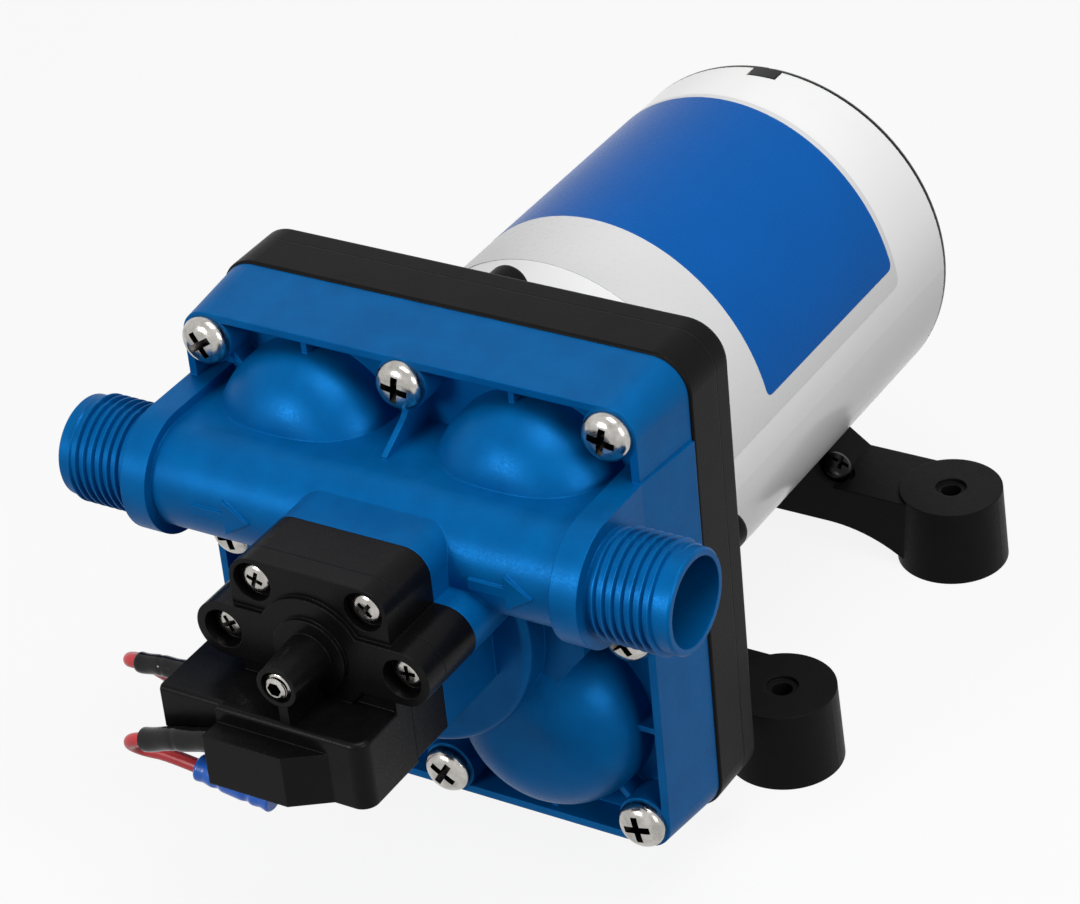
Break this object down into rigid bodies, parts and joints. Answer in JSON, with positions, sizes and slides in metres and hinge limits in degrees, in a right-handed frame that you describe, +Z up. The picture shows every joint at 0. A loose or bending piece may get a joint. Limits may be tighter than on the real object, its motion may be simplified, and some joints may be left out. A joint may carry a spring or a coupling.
{
  "type": "caravan water pump",
  "caption": "12 V diaphragm water pump for a caravan: moulded head with two threaded ports, pressure switch, round motor and two brackets with feet",
  "frame": {"origin": "middle of the four foot holes, on the surface that the feet stand on", "axes": "+X along the ports towards the outlet, +Y back from the head along the motor, +Z up"},
  "size_m": [0.1296, 0.1991, 0.11],
  "materials": {
    "blue_plastic": "moulded blue glass-filled plastic, satin",
    "black_plastic": "moulded black plastic, satin",
    "foot_rubber": "moulded black rubber-like plastic",
    "valve_rubber": "soft black rubber",
    "inner_plastic": "natural white plastic",
    "can_enamel": "white enamel on steel, satin",
    "screw_steel": "bright stainless steel",
    "bearing_steel": "ground steel",
    "core_steel": "stacked steel sheets",
    "magnet_ferrite": "dark sintered ferrite",
    "copper": "enamelled copper wire",
    "brass": "plain brass",
    "brush_carbon": "dull carbon",
    "red_wire": "red insulation, glossy",
    "sleeve_black": "black heat shrink sleeve, glossy",
    "connector_blue": "blue insulated butt connector"
  },
  "bodies": {
    "housing": {"pump_head": "blue_plastic", "drive_housing": "black_plastic", "motor_housing": "black_plastic", "switch_base": "black_plastic", "switch_cover": "black_plastic", "microswitch": "black_plastic", "front_bracket": "foot_rubber", "rear_bracket": "foot_rubber", "valve_plate_seal": "valve_rubber", "inlet_valves": "valve_rubber", "outlet_valve": "valve_rubber", "diaphragm": "valve_rubber", "switch_diaphragm": "valve_rubber", "lead_grommet": "valve_rubber", "valve_plate": "inner_plastic", "brush_plate": "inner_plastic", "motor_can": "can_enamel", "motor_end_cap": "can_enamel", "corner_head_screws": "screw_steel", "side_head_screws": "screw_steel", "bracket_screws": "screw_steel", "switch_cover_screws": "screw_steel", "front_bearing": "bearing_steel", "motor_front_plate": "bearing_steel", "adjuster_spring": "bearing_steel", "spring_seat": "bearing_steel", "brush_springs": "bearing_steel", "magnets": "magnet_ferrite", "rear_bush": "brass", "microswitch_terminals": "brass", "brushes": "brush_carbon", "motor_wire": "red_wire", "supply_wire": "red_wire", "upper_sleeve": "sleeve_black", "lower_sleeve": "sleeve_black", "butt_connector": "connector_blue"},
    "rotor": {"motor_shaft": "bearing_steel", "armature_core": "core_steel", "armature_windings": "copper", "commutator": "copper", "drive_cam": "bearing_steel", "cam_bearing_inner": "bearing_steel"},
    "wobble": {"wobble_plate": "inner_plastic", "cam_bearing_outer": "bearing_steel", "cam_bearing_balls": "bearing_steel", "piston_caps": "inner_plastic", "piston_screws": "screw_steel"},
    "plunger": {"switch_plunger": "inner_plastic"},
    "button": {"microswitch_button": "inner_plastic"},
    "adjuster": {"adjuster_screw": "screw_steel"}
  },
  "joints": [
    {"name": "rotor_spin", "type": "hinge", "parent": "housing", "child": "rotor", "pos_m": [0, 0, 0.06], "axis": [0, 1, 0], "continuous": true},
    {"name": "wobble_rock", "type": "hinge", "parent": "housing", "child": "wobble", "pos_m": [0, -0.067, 0.06], "axis": [1, 0, 0], "range_deg": [-2, 2], "deforming": ["diaphragm"]},
    {"name": "plunger_slide", "type": "slide", "parent": "housing", "child": "plunger", "axis": [0, -1, 0], "range_m": [0, 0.001], "stiffness_N_per_m": 2000, "springref_m": -0.002, "deforming": ["adjuster_spring"]},
    {"name": "button_slide", "type": "slide", "parent": "housing", "child": "button", "axis": [0, -1, 0], "range_m": [0, 0.001]},
    {"name": "adjuster_turn", "type": "hinge", "parent": "housing", "child": "adjuster", "pos_m": [0.0048, -0.138, 0.0733], "axis": [0, -1, 0], "range_deg": [-360, 360]}
  ],
  "couplings": [
    {"joint": "button_slide", "follows": "plunger_slide", "ratio": 1}
  ]
}
